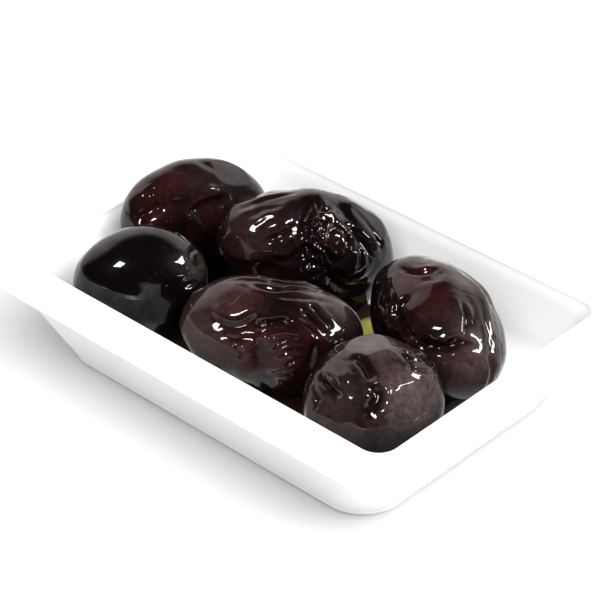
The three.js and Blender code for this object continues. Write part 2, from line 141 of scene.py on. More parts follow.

# Each olive lies with its long axis along its own X. Places on the skin are two angles in degrees:
# how far along from the waist to the tips, and how far round from the olive's side.
# at: middle over the table. half: half sizes. turn: yaw, tilt and roll.
# pucker: height of the broad waves.
# swells: place, height. flats: place, inset. knobs: place, radius, height. All lengths are in mm.
# folds and creases: three places on the line, then depth and half width; a ridge's depth is
# below zero. ledges: the same, with a drop on the line's right side only.
# rings: place, two radii, half width, depth. nets: place, reach, depth.
# flush and dull (the dry-skin marks): place, reach, strength of the reddish colour and of the dry
# skin, whose grey bloom is partly painted sheen.
# ripe: how little of the red shows.
OLIVES = {
    "olive_back_left": dict(
        at=(-26.65, 4.12), half=(12.53, 6.6, 9.34), turn=(70.5, -15.9, -11.1), pucker=0.1,
        swells=[(-61, 48, 0.28), (-33, 79, 0.08), (4, 80, 0.3)],
        flats=[(11, 123, 0.35)],
        knobs=[(-8, 181, 4, -0.4)],
        folds=[
            (-72, 181, -57, 156, -41, 145, 0.45, 1.2), (-42, 142, -30, 146, -16, 144, 0.35, 1.2),
        ],
        ledges=[(-26, 163, -11, 148, 11, 142, 0.8, 0.6)],
        creases=[
            (-21, 141, -10, 138, 0, 137, -0.22, 0.5), (-44, 141, -32, 141, -22, 141, -0.15, 0.5),
            (-79, 137, -62, 137, -48, 141, 0.25, 0.8), (-72, 181, -54, 155, -38, 149, 0.3, 0.8),
            (-37, 94, -13, 116, 17, 129, 0.15, 1.0), (-10, 92, 3, 111, 27, 124, 0.25, 0.8),
            (-55, 141, -52, 122, -45, 128, 0.2, 0.4),
        ],
        nets=[(-59, 161, 4, 0.06)],
        flush=[(-30, 121, 3, 0.6), (-54, 157, 4, 0.5)],
        dull=[(1, 122, 5, 0.15)],
    ),
    "olive_left": dict(
        at=(-21.3, -12.9), half=(9.96, 7.48, 8.61), turn=(52.5, 3.6, -1.8), pucker=0.03,
        swells=[(-30, 78, -0.29), (9, 63, 0.19), (-62, 90, 0.4)],
        flats=[(9, 184, 0.3)],
        knobs=[(24, 238, 3.6, 1)],
        folds=[(53, 96, 57, 119, 57, 147, 0.3, 1.3)],
        creases=[
            (31, 168, 45, 164, 61, 176, 0.25, 0.35), (36, 185, 46, 176, 69, 177, 0.25, 0.35),
            (45, 135, 52, 108, 65, 68, 0.3, 0.45), (-32, 135, -9, 156, 19, 173, 0.15, 1.3),
        ],
        nets=[(53, 168, 3, 0.1)],
        flush=[(0, 103, 4, 0.25)],
        dull=[(55, 129, 2.5, 0.7)],
        ripe=0.5,
    ),
    "olive_back_middle": dict(
        at=(-8.58, 9.13), half=(13.65, 8.39, 9.23), turn=(49.8, -15.4, 11.4), pucker=0.12,
        swells=[
            (-36, 66, -0.48), (-67, 31, 0.27), (-53, 208, -0.4), (-3, 51, 0.24), (33, 58, 0.45),
        ],
        flats=[(24, 98, 0.2)],
        knobs=[
            (10, 133, 2.4, 0.2), (-15, 155, 2.2, -0.35), (-39, 124, 4, 0.2), (40, 217, 3.4, 1.4),
        ],
        folds=[
            (-2, 72, -13, 118, -6, 165, 0.8, 1.4), (-61, 218, -41, 182, -17, 156, 0.4, 1.2),
            (8, 82, 20, 103, 36, 143, 0.45, 1.2), (4, 150, 21, 175, 44, 171, 0.4, 1.2),
            (-37, 145, -25, 130, -16, 111, 0.25, 1.2),
        ],
        creases=[
            (-70, 67, -45, 82, -18, 86, 0.2, 0.8), (-60, 114, -40, 99, -17, 98, 0.2, 0.7),
            (-48, 131, -31, 112, -16, 105, 0.22, 0.6), (-38, 142, -26, 131, -19, 118, 0.3, 0.4),
            (-26, 149, -19, 140, -13, 132, 0.3, 0.4), (-62, 211, -49, 184, -33, 166, 0.3, 0.5),
            (-52, 70, -34, 75, -11, 68, 0.28, 0.5), (-31, 157, -20, 157, -12, 150, 0.3, 0.5),
            (0, 87, -6, 126, 5, 164, 0.5, 0.45), (4, 98, -1, 130, 11, 167, 0.4, 0.4),
            (16, 80, 34, 98, 53, 140, 0.5, 0.5), (11, 107, 28, 120, 38, 151, 0.4, 0.45),
            (20, 119, 30, 138, 26, 161, 0.35, 0.4), (6, 157, 25, 181, 49, 166, 0.5, 0.5),
            (8, 149, 24, 165, 36, 143, 0.4, 0.4), (-12, 122, -7, 113, 0, 118, 0.4, 0.35),
            (-12, 134, -7, 126, -1, 137, 0.4, 0.35), (-8, 153, -8, 138, 0, 153, 0.4, 0.35),
            (-7, 168, -4, 154, 5, 158, 0.4, 0.4), (-3, 73, -1, 98, 7, 88, 0.4, 0.4),
        ],
        rings=[(11, 132, 1.7, 2.5, 0.4, 0.4)],
        nets=[(18, 138, 6, 0.28), (-4, 150, 3.5, 0.2)],
        flush=[(-53, 140, 6, 0.5), (-40, 120, 5, 0.4)],
        dull=[(-54, 137, 6, 0.2)],
    ),
    "olive_front_middle": dict(
        at=(1.32, -8.84), half=(13.27, 8.98, 8.25), turn=(33.6, -3, -13.7), pucker=0.08,
        swells=[(-4, 84, -0.4), (-35, 71, 0.24), (41, 64, 0.13)],
        flats=[(-22, 181, 0.3)],
        knobs=[(18, 172, 3.4, 0.55), (19, 117, 2.5, 0.2), (18, 247, 3.4, 1), (72, 56, 3.5, 0.4)],
        folds=[
            (-37, 140, -21, 155, -1, 136, 0.4, 1.5), (-11, 156, 6, 145, 34, 150, 0.55, 1.2),
            (-4, 130, 15, 127, 40, 144, 0.4, 1.2), (2, 161, 1, 186, 5, 231, 0.75, 1.6),
            (32, 159, 34, 178, 28, 199, 0.45, 1.2),
        ],
        ledges=[(-40, 132, -21, 152, -4, 131, 0.55, 0.6), (-4, 131, 7, 129, 22, 137, 0.25, 0.6)],
        creases=[
            (-32, 100, -11, 94, 16, 105, 0.25, 0.5), (-21, 88, 3, 109, 32, 73, 0.35, 0.4),
            (-14, 78, 10, 94, 32, 65, 0.3, 0.35), (-2, 113, 18, 115, 43, 95, 0.25, 0.5),
            (23, 118, 34, 126, 47, 142, 0.4, 0.4), (1, 206, 6, 235, 17, 246, 0.3, 0.5),
            (18, 126, 29, 134, 41, 152, 0.5, 0.4), (17, 139, 27, 144, 37, 157, 0.4, 0.35),
            (-11, 157, 5, 145, 22, 142, 0.5, 0.45), (-32, 164, -16, 170, -1, 157, 0.35, 0.6),
            (-17, 170, -14, 181, -8, 192, 0.35, 0.4), (-3, 167, 12, 152, 27, 157, 0.45, 0.45),
            (5, 176, 15, 161, 28, 166, 0.35, 0.4), (6, 188, 15, 172, 29, 174, 0.3, 0.35),
            (14, 190, 19, 183, 27, 177, 0.35, 0.25), (12, 197, 19, 190, 25, 185, 0.3, 0.25),
            (29, 202, 33, 179, 31, 159, 0.45, 0.4),
            (26, 210, 14, 198, 6, 213, 0.3, 0.5),
        ],
        nets=[(17, 168, 6, 0.08), (14, 103, 5, 0.06), (-11, 180, 2.5, 0.1)],
        flush=[
            (-25, 125, 5, 1.0), (1, 182, 5, 1.3), (-45, 178, 8, 0.9), (59, 107, 4, 0.15),
            (22, 150, 4, 0.5),
        ],
        dull=[(-45, 160, 7, 0.35), (38, 92, 4, 0.5)],
    ),
    "olive_right": dict(
        at=(18.81, 7.99), half=(12.35, 8.48, 8.77), turn=(157.7, 6.4, 1.6), pucker=0.1,
        swells=[(-39, 152, -0.4), (-53, 194, 0.6), (-18, 151, 0.16)],
        flats=[(8, 61, 0.35)],
        knobs=[(-21, 58, 4, 0.4), (-70, 43, 3.3, 0.6), (28, 350, 4, 0.5), (56, 38, 4, 1.2)],
        folds=[
            (42, 64, 14, 75, 14, 100, 0.45, 1.2), (-1, 63, 1, 36, -23, 29, 0.45, 1.2),
            (-23, 28, -43, 43, -45, 81, 0.5, 1.2), (-45, 81, -30, 102, -5, 98, 0.3, 1.2),
            (2, 121, -35, 114, -70, 125, 0.3, 1.2),
        ],
        creases=[
            (43, 61, 19, 74, 16, 98, 0.45, 0.45), (-4, 34, -15, 27, -29, 36, 0.4, 0.45),
            (31, 52, 9, 69, 4, 94, 0.2, 0.5), (-1, 63, 1, 36, -23, 29, 0.45, 0.5),
            (-23, 29, -43, 43, -46, 81, 0.5, 0.5), (-49, 74, -34, 90, -16, 95, 0.4, 0.4),
            (-9, 122, -40, 120, -75, 152, 0.2, 0.6), (15, 135, -16, 132, -53, 136, 0.2, 0.6),
            (17, 116, -5, 133, -37, 145, 0.18, 0.6), (-57, 107, -70, 146, -59, 215, 0.2, 0.6),
            (26, 44, 7, 37, 1, 19, 0.35, 0.35),
            (26, 21, 9, 20, 5, 6, 0.3, 0.3), (1, 36, 0, 23, 0, 11, 0.3, 0.3),
            (-48, 25, -48, 63, -59, 102, 0.45, 0.6), (-62, 115, -75, 161, -60, 241, 0.35, 0.5),
            (-57, 63, -64, 67, -73, 58, 0.15, 0.5), (-5, 85, -14, 74, -25, 68, 0.12, 0.6),
        ],
        nets=[(-38, 118, 6, 0.08), (9, 27, 4, 0.14)],
        flush=[(-13, 57, 5, 0.35), (-70, 43, 5, 0.6), (17, 69, 4, 1.0)],
        dull=[(-66, 40, 4.5, 0.4), (-50, 108, 4, 1.0), (-34, 130, 4, 0.9), (-8, 149, 4.5, 0.7)],
    ),
    "olive_front": dict(
        at=(23.82, -11.85), half=(10.45, 9.35, 8.58), turn=(83.1, -2.4, 19.9), pucker=0.12,
        swells=[(12, 33, 0.5), (26, 69, -0.4), (-17, 28, -0.35), (51, 101, 0.18)],
        flats=[(2, 58, 0.6), (-2, 86, 0.5), (-22, 54, 0.45), (2, 124, 0.4), (-59, 91, 0.4)],
        knobs=[(-31, 53, 2.5, -0.2)],
        folds=[
            (-12, 52, -17, 80, -21, 99, 0.6, 1.2), (-21, 99, -30, 115, -45, 127, 0.55, 1.2),
            (-38, 29, -50, 64, -49, 93, 0.4, 1.2), (22, 75, 21, 87, 16, 99, 0.3, 1.2),
            (40, 70, 37, 89, 33, 106, 0.3, 1.2),
        ],
        creases=[
            (-12, 52, -17, 80, -21, 99, 0.3, 0.7), (-31, 83, -23, 110, -45, 124, 0.5, 0.8),
            (-17, 36, -25, 69, -33, 89, 0.25, 0.6),
            (-34, 28, -50, 64, -48, 97, 0.45, 0.4), (-38, 40, -42, 66, -47, 85, 0.25, 0.3),
            (-50, 21, -63, 52, -76, 27, 0.35, 0.5), (-59, 46, -63, 66, -57, 80, 0.25, 0.3),
            (24, 71, 29, 83, 55, 83, 0.3, 0.3), (20, 82, 24, 95, 42, 104, 0.3, 0.3),
            (14, 94, 18, 106, 43, 117, 0.3, 0.3), (20, 74, 19, 90, 12, 105, 0.3, 0.3),
            (46, 64, 52, 76, 58, 97, 0.3, 0.3), (-15, 103, -9, 113, -11, 125, 0.15, 0.6),
            (-26, 113, -16, 122, -8, 133, 0.12, 0.8),
            (-55, 134, -36, 129, -19, 139, 0.14, 0.6),
        ],
        nets=[(25, 94, 4, 0.2), (-40, 81, 6, 0.08)],
        flush=[(-8, 93, 2.5, 0.6), (-61, 100, 4, 0.4), (4, 122, 5, 0.6)],
        dull=[(2, 120, 5, 1.0), (6, 60, 4.5, 0.8), (-57, 79, 4, 0.4)],
    ),
}

# ---------------------------------------------------------------- settings

class DishSettings(bpy.types.PropertyGroup):
    rim_height: FloatProperty(
        name="Rim Height", description="Height of the flange's top above the table",
        default=16 * MM, unit="LENGTH")
    floor_height: FloatProperty(
        name="Floor Height", description="Height of the inside floor above the table",
        default=3.5 * MM, unit="LENGTH")
    flange_width: FloatProperty(
        name="Flange Width", description="Width of the flat rim outside the opening",
        default=6 * MM, unit="LENGTH")
    corner_steps: IntProperty(
        name="Corner Steps", description="Faces round each corner of the dish", default=18)
    side_steps: IntProperty(
        name="Side Steps", description="Faces along each straight side of the dish", default=14)
    slump: FloatProperty(
        name="Slump", description="How far firing pulled the clay out of true",
        default=0.05 * MM, unit="LENGTH", precision=5)
    glaze: FloatVectorProperty(
        name="Glaze", description="Colour of the white glaze", subtype="COLOR",
        default=(0.93, 0.93, 0.925), min=0, max=1)


class OilSettings(bpy.types.PropertyGroup):
    depth: FloatProperty(
        name="Depth", description="Depth of the oil over the dish's floor",
        default=1.4 * MM, unit="LENGTH")
    creep: FloatProperty(
        name="Creep", description="How far the oil climbs where it meets an olive",
        default=0.6 * MM, unit="LENGTH")
    creep_reach: FloatProperty(
        name="Creep Reach", description="How far from an olive the climb fades",
        default=1.1 * MM, unit="LENGTH")
    wander: FloatProperty(
        name="Wander", description="How far the puddle's edge draws in, as a share of its size",
        default=0.07, min=0, max=0.3)
    seed: IntProperty(
        name="Seed", description="Start of the random edge", default=5)
    tint: FloatVectorProperty(
        name="Tint", description="Colour of the light that passes the oil", subtype="COLOR",
        default=(0.46, 0.45, 0.125), min=0, max=1)
    # Painted shade: the near-black colour the oil takes round the olives, where the gaps between
    # them lie in shade.
    juice: FloatVectorProperty(
        name="Painted Shade", description="Colour of the light that passes the dark juice round the olives",
        subtype="COLOR", default=(0.022, 0.010, 0.008), min=0, max=1)


class OliveSettings(bpy.types.PropertyGroup):
    fineness: IntProperty(
        name="Fineness", description="How many times the starting ball is divided",
        default=7, min=3, max=7)
    wrinkling: FloatProperty(
        name="Wrinkling", description="Strength of the fine creases against their own depths",
        default=1.0, min=0, max=2)
    skin: FloatVectorProperty(
        name="Skin", description="Darkest colour of the cured skin", subtype="COLOR",
        default=(0.0018, 0.0009, 0.0011), min=0, max=1)
    blush: FloatVectorProperty(
        name="Blush", description="Reddish brown where the flesh shows through the skin",
        subtype="COLOR", default=(0.028, 0.0062, 0.0050), min=0, max=1)
    seed: IntProperty(
        name="Seed", description="Start of the random fine wrinkles", default=7)


class StageSettings(bpy.types.PropertyGroup):
    key_power: FloatProperty(
        name="Key Power", description="Power of the soft light at the back right", default=1.0)
    fill_power: FloatProperty(
        name="Fill Power", description="Power of the soft light at the front left", default=1.0)
    top_power: FloatProperty(
        name="Top Power", description="Power of the wide panels above and beside the dish",
        default=1.0)
    view_turn: FloatProperty(
        name="View Turn", description="How far the view is turned round the dish",
        default=math.radians(43.012), subtype="ANGLE")
    view_height: FloatProperty(
        name="View Height", description="How far the view is raised above the table",
        default=math.radians(34.309), subtype="ANGLE")
    view_distance: FloatProperty(
        name="View Distance", description="Distance from the camera to the point it looks at",
        default=389.53 * MM, unit="LENGTH")

# ---------------------------------------------------------------- node helpers

def fill(tree, node, values):
    """Sets the node's inputs, by name or number, to plain values, or joins sockets to them."""
    for key, value in values.items():
        if isinstance(value, bpy.types.NodeSocket):
            tree.links.new(value, node.inputs[key])
        else:
            node.inputs[key].default_value = value
    return node


def add_node(tree, kind, inputs=None, **settings):
    """Adds a node, gives it its settings and fills its inputs."""
    node = tree.nodes.new(kind)
    for name, value in settings.items():
        setattr(node, name, value)
    return fill(tree, node, inputs or {})


def calc(tree, operation, *values, clamp=False):
    """A Math node on sockets or plain numbers."""
    inputs = dict(enumerate(values))
    return add_node(tree, "ShaderNodeMath", inputs, operation=operation, use_clamp=clamp).outputs[0]


def vector_calc(tree, operation, *values, out=0):
    """A Vector Math node on sockets or plain vectors."""
    inputs = dict(enumerate(values))
    return add_node(tree, "ShaderNodeVectorMath", inputs, operation=operation).outputs[out]


def mix_colour(tree, share, first, second):
    inputs = {0: share, 6: first, 7: second}
    return add_node(tree, "ShaderNodeMix", inputs, data_type="RGBA").outputs[2]


def ramp(tree, value, low, high, start=0.0, end=1.0):
    """A smooth rise from start to end as the value goes from low to high."""
    inputs = dict(enumerate((value, low, high, start, end)))
    return add_node(tree, "ShaderNodeMapRange", inputs, interpolation_type="SMOOTHSTEP").outputs[0]


def noise(tree, place, size, detail=2.0, roughness=0.5, distortion=0.0):
    """Noise whose features are about size metres across."""
    return add_node(tree, "ShaderNodeTexNoise", {
        "Vector": place, "Scale": 1 / size, "Detail": detail, "Roughness": roughness,
        "Distortion": distortion}).outputs["Fac"]


def stored_mark(tree, name):
    """A number that is stored on the mesh under a name."""
    return add_node(tree, "ShaderNodeAttribute", attribute_name=name).outputs["Fac"]


def group_tree(name, inputs, outputs):
    """An empty shader group with named sockets."""
    tree = bpy.data.node_groups.new(name, "ShaderNodeTree")
    for socket_name, kind, value in inputs:
        socket = tree.interface.new_socket(
            name=socket_name, in_out="INPUT", socket_type="NodeSocket" + kind)
        if value is not None:
            socket.default_value = value
    for socket_name, kind in outputs:
        tree.interface.new_socket(
            name=socket_name, in_out="OUTPUT", socket_type="NodeSocket" + kind)
    return tree, tree.nodes.new("NodeGroupInput").outputs, tree.nodes.new("NodeGroupOutput")


def new_material(name):
    """A material that holds only its output and one Principled shader."""
    material = bpy.data.materials.new(name)
    material.use_nodes = True
    tree = material.node_tree
    tree.nodes.clear()
    output = tree.nodes.new("ShaderNodeOutputMaterial")
    shader = tree.nodes.new("ShaderNodeBsdfPrincipled")
    fill(tree, output, {"Surface": shader.outputs[0]})
    return material, tree, shader, output


def object_place(tree):
    return tree.nodes.new("ShaderNodeTexCoord").outputs["Object"]


def surface_ripple_group():
    """Bump of two noise sizes, shared by the glaze, the skin and the oil."""
    name = "Surface ripple"
    if name in bpy.data.node_groups:
        return bpy.data.node_groups[name]
    tree, given, result = group_tree(
        name,
        [("Vector", "Vector", None), ("Broad Scale", "Float", 100.0),
         ("Fine Scale", "Float", 2000.0), ("Broad Height", "Float", 0.0001),
         ("Fine Height", "Float", 0.00001), ("Normal", "Vector", None)],
        [("Normal", "Vector")])
    heights = []
    for layer, detail in (("Broad", 1.0), ("Fine", 3.0)):
        waves = add_node(tree, "ShaderNodeTexNoise", {
            "Vector": given["Vector"], "Scale": given[layer + " Scale"], "Detail": detail})
        heights.append(calc(tree, "MULTIPLY", waves.outputs["Fac"], given[layer + " Height"]))
    bump = add_node(tree, "ShaderNodeBump", {
        "Height": calc(tree, "ADD", *heights), "Distance": 1.0, "Normal": given["Normal"]})
    fill(tree, result, {"Normal": bump.outputs[0]})
    return tree


def ripple(tree, place, broad_size, fine_size, broad_height, fine_height):
    """The normal of a surface with broad and fine waves; the sizes and heights are in metres."""
    return add_node(tree, "ShaderNodeGroup", {
        "Vector": place, "Normal": tree.nodes.new("ShaderNodeNewGeometry").outputs["Normal"],
        "Broad Scale": 1 / broad_size, "Fine Scale": 1 / fine_size,
        "Broad Height": broad_height, "Fine Height": fine_height},
        node_tree=surface_ripple_group()).outputs["Normal"]


# ---------------------------------------------------------------- materials

def porcelain_material(settings):
    """White glaze with faint clouding, pinholes, one dark speck and one faint stain on the rim."""
    material, tree, shader, _ = new_material("white porcelain")
    place = object_place(tree)
    cloud = ramp(tree, noise(tree, place, 16 * MM, 3), 0.35, 0.7)
    clouded = tuple(c * 0.975 for c in settings.glaze) + (1,)
    base = mix_colour(tree, cloud, (*settings.glaze, 1), clouded)
    pits = add_node(tree, "ShaderNodeTexVoronoi", {"Vector": place, "Scale": 1 / (5.5 * MM)})
    speck, stain = (
        vector_calc(tree, "DISTANCE", place, tuple(value * MM for value in mark), out=1)
        for mark in (SPECK, STAIN))
    for away, near, far, strength, colour in (
            (pits.outputs["Distance"], 0.012, 0.03, 0.35, (0.55, 0.52, 0.48, 1)),
            (speck, 0.1 * MM, 0.4 * MM, 0.8, (0.16, 0.15, 0.14, 1)),
            (stain, 0.4 * MM, 2.2 * MM, 0.35, (0.86, 0.80, 0.60, 1))):
        base = mix_colour(tree, ramp(tree, away, near, far, strength, 0.0), base, colour)
    fill(tree, shader, {
        "Base Color": base,
        "Roughness": ramp(tree, noise(tree, place, 4 * MM, 4), 0.3, 0.75, 0.10, 0.2),
        "Normal": ripple(tree, place, 9 * MM, 0.7 * MM, 0.03 * MM, 0.0012 * MM),
        "IOR": 1.5, "Coat Weight": 0.4, "Coat Roughness": 0.04})
    return material


def oil_material(settings):
    """Clear yellow-green oil, darkened with painted shade round the olives, where the gaps between
    them lie in shade. Shadow rays pass it, so the porcelain under it stays lit.
    """
    material, tree, shader, output = new_material("olive oil")
    place = object_place(tree)
    deep = tuple(c * 0.86 for c in settings.tint) + (1,)
    drift = ramp(tree, noise(tree, place, 7 * MM, 2), 0.35, 0.7)
    colour = mix_colour(tree, drift, (*settings.tint, 1), deep)
    # Painted shade: the oil goes near black everywhere but in the unshaded spots.
    juice = ramp(tree, stored_mark(tree, "juice"), 0.0, 1.0)
    colour = mix_colour(tree, juice, colour, (*settings.juice, 1))
    fill(tree, shader, {
        "Base Color": colour,
        "Normal": ripple(tree, place, 5 * MM, 0.8 * MM, 0.06 * MM, 0.002 * MM),
        "Roughness": 0.03, "IOR": 1.47, "Transmission Weight": 1.0})
    clear = add_node(tree, "ShaderNodeBsdfTransparent", {"Color": colour})
    shadow = tree.nodes.new("ShaderNodeLightPath").outputs["Is Shadow Ray"]
    mixed = add_node(tree, "ShaderNodeMixShader", {
        0: shadow, 1: shader.outputs[0], 2: clear.outputs[0]})
    fill(tree, output, {"Surface": mixed.outputs[0]})
    return material


def skin_tone_group():
    """Colour, dryness and wet film of the olive skin, from the marks stored on the mesh. The colour
    holds painted shade in the creases and a grey bloom that is partly the dry skin's own and partly
    painted sheen.
    """
    tree, given, result = group_tree(
        "Cured skin",
        [("Vector", "Vector", None), ("Flush", "Float", 0.0), ("Dull", "Float", 0.0),
         ("Crease", "Float", 0.0), ("Skin", "Color", (0.004, 0.002, 0.002, 1)),
         ("Blush", "Color", (0.04, 0.01, 0.008, 1))],
        [("Color", "Color"), ("Roughness", "Float"), ("Film", "Float")])
    place, flush, dull, crease = (given[name] for name in ("Vector", "Flush", "Dull", "Crease"))
    broad = noise(tree, place, 6 * MM, 4, 0.55, 0.4)
    fine = noise(tree, place, 0.9 * MM, 4, 0.6)
    # The reddish flesh shows in the flushed places and in broad clouds; in the creases less of it
    # shows, as painted shade.
    share = calc(tree, "ADD", calc(tree, "MULTIPLY", flush, 0.8),
                 ramp(tree, broad, 0.42, 0.78, 0.0, 0.45))
    share = calc(tree, "MULTIPLY", share, ramp(tree, fine, 0.25, 0.75, 0.65, 1.2), clamp=True)
    share = calc(tree, "MULTIPLY", share, ramp(tree, crease, 0.2, 1.0, 1.0, 0.55))
    colour = mix_colour(tree, share, given["Skin"], given["Blush"])
    # Small pale pores.
    pores = add_node(tree, "ShaderNodeTexVoronoi", {"Vector": place, "Scale": 1 / (1.1 * MM)})
    dots = ramp(tree, pores.outputs["Distance"], 0.05, 0.16, 0.5, 0.0)
    dots = calc(tree, "MULTIPLY", dots, ramp(tree, broad, 0.45, 0.6))
    colour = mix_colour(tree, dots, colour, (0.03, 0.016, 0.012, 1))
    # The grey bloom of dry skin, partly its own colour and partly painted sheen; it fades out in
    # the creases, as painted shade.
    bloom_and_sheen = calc(tree, "MULTIPLY", dull, ramp(tree, fine, 0.3, 0.7, 0.35, 0.75))
    bloom_and_sheen = calc(tree, "MULTIPLY", bloom_and_sheen, ramp(tree, crease, 0.1, 0.7, 1.0, 0.1))
    colour = mix_colour(tree, bloom_and_sheen, colour, (0.082, 0.064, 0.061, 1))
    rough = ramp(tree, noise(tree, place, 2.2 * MM, 3), 0.3, 0.7, 0.24, 0.4)
    rough = calc(tree, "ADD", rough, calc(tree, "MULTIPLY", dull, 0.22))
    film = ramp(tree, noise(tree, place, 3 * MM, 3, 0.6), 0.3, 0.6, 0.7, 1.0)
    film = calc(tree, "SUBTRACT", film, calc(tree, "MULTIPLY", dull, 0.12), clamp=True)
    fill(tree, result, {"Color": colour, "Roughness": rough, "Film": film})
    return tree


def olive_material(settings):
    """Black-brown cured skin under an uneven film of oil."""
    material, tree, shader, _ = new_material("olive skin")
    place = object_place(tree)
    tones = add_node(tree, "ShaderNodeGroup", {
        "Vector": place, "Flush": stored_mark(tree, "flush"), "Dull": stored_mark(tree, "dull"),
        "Crease": stored_mark(tree, "crease"), "Skin": (*settings.skin, 1),
        "Blush": (*settings.blush, 1)}, node_tree=skin_tone_group()).outputs
    fill(tree, shader, {
        "Base Color": tones["Color"], "Roughness": tones["Roughness"],
        "Coat Weight": tones["Film"],
        "Normal": ripple(tree, place, 2.6 * MM, 0.4 * MM, 0.04 * MM, 0.003 * MM),
        "IOR": 1.45, "Specular IOR Level": 0.03, "Coat Roughness": 0.03, "Coat IOR": 1.47})
    return material


def table_material():
    material, tree, shader, _ = new_material("pale table")
    drift = ramp(tree, noise(tree, object_place(tree), 0.2, 2), 0.3, 0.7)
    fill(tree, shader, {
        "Base Color": mix_colour(tree, drift, (0.70, 0.70, 0.70, 1), (0.69, 0.69, 0.695, 1)),
        "Roughness": 0.7, "Specular IOR Level": 0.2})
    return material


# ---------------------------------------------------------------- mesh helpers

def added(name, data):
    """A new object that holds the data, linked to the scene."""
    piece = bpy.data.objects.new(name, data)
    bpy.context.scene.collection.objects.link(piece)
    return piece


def mesh_points(mesh):
    """The mesh's points as rows of three numbers."""
    points = np.empty(len(mesh.vertices) * 3)
    mesh.vertices.foreach_get("co", points)
    return points.reshape(-1, 3)


def store(mesh, name, values):
    """Keeps one number for each of the mesh's points under a name."""
    mesh.attributes.new(name, "FLOAT", "POINT").data.foreach_set("value", values)


# ---------------------------------------------------------------- the dish

def between(first, second, share):
    return tuple(a + (b - a) * share for a, b in zip(first, second))


def outset(outline, distance):
    return tuple(value + distance for value in outline)


def arc(distance, height, radius, start, end, steps):
    """Points of an arc as pairs of outset and height; the angles are in degrees."""
    angles = [math.radians(start + (end - start) * step / steps) for step in range(steps + 1)]
    return [(distance + radius * math.cos(a), height + radius * math.sin(a)) for a in angles]


def fillet_rise(degrees):
    return FLOOR_FILLET * (1 - math.cos(math.radians(degrees)))


def inner_outline(rise, rim_height, floor_height):
    """Outline of the inside at a height above the floor: a fillet, then a straight flared wall."""
    spread = OPENING[0] - FLOOR[0]
    top = fillet_rise(FILLET_SWEEP)
    if rise < top:
        share = FLOOR_FILLET * math.sin(math.acos(1 - rise / FLOOR_FILLET)) / spread
    else:
        start = FLOOR_FILLET * math.sin(math.radians(FILLET_SWEEP)) / spread
        share = start + (1 - start) * (rise - top) / (rim_height - floor_height - top)
    return between(FLOOR, OPENING, share)


def dish_profile(settings):
    """The dish's section from the middle of the foot, up outside, over the rim and down inside.
    Each entry is an outline and a height in mm."""
    rim, floor, flange = (
        value / MM for value in (settings.rim_height, settings.floor_height, settings.flange_width))
    wall_top = outset(OPENING, WALL_TOP_OUTSET)
    underside = rim - FLANGE_THICKNESS
    cove_start = rim - FLANGE_THICKNESS - COVE_RADIUS
    rows = [((0, 0, 0), 0), (outset(FOOT, -4), 0), (outset(FOOT, -1.3), 0)]
    rows += [(outset(FOOT, d), h) for d, h in arc(-FOOT_ROUND, FOOT_ROUND, FOOT_ROUND, -90, 0, 7)]
    for share in (0.05, 0.2, 0.4, 0.6, 0.8, 0.95):
        height = FOOT_ROUND + (cove_start - FOOT_ROUND) * share
        rows.append((between(FOOT, wall_top, share), height))
    edge = arc(WALL_TOP_OUTSET + COVE_RADIUS, cove_start, COVE_RADIUS, 180, 90, 8)
    edge += arc(flange - FLANGE_UNDER_ROUND, underside + FLANGE_UNDER_ROUND, FLANGE_UNDER_ROUND,
                -90, 0, 6)
    edge += arc(flange - FLANGE_TOP_ROUND, rim - FLANGE_TOP_ROUND, FLANGE_TOP_ROUND, 0, 90, 8)
    edge += [(flange - FLANGE_TOP_ROUND - RIM_SHOULDER, rim), (flange / 2, rim),
             (OPENING_ROUND + RIM_SHOULDER, rim)]
    edge += arc(OPENING_ROUND, rim - OPENING_ROUND, OPENING_ROUND, 90, 180, 7)
    rows += [(outset(OPENING, d), h) for d, h in edge]
    top = rim - OPENING_ROUND - floor
    bottom = fillet_rise(FILLET_SWEEP)
    rises = [bottom + (top - bottom) * share for share in (0.95, 0.75, 0.5, 0.25, 0.05, 0)]
    rises += [fillet_rise(FILLET_SWEEP * step / FILLET_STEPS)
              for step in range(FILLET_STEPS - 1, -1, -1)]
    rows += [(inner_outline(rise, rim, floor), floor + rise) for rise in rises]
    rows += [(outset(FLOOR, -0.6), floor), (outset(FLOOR, -1.9), floor), ((0, 0, 0), floor)]
    return rows


def profile_object(settings):
    """A line of points, one for each row of the dish, that carries the outline at that height."""
    rows = dish_profile(settings)
    mesh = bpy.data.meshes.new("porcelain_dish")
    mesh.from_pydata([(0, 0, height * MM) for _, height in rows],
                     [(i, i + 1) for i in range(len(rows) - 1)], [])
    for index, name in enumerate(("half_length", "half_width", "corner")):
        store(mesh, name, [outline[index] * MM for outline, _ in rows])
    return added("porcelain_dish", mesh)


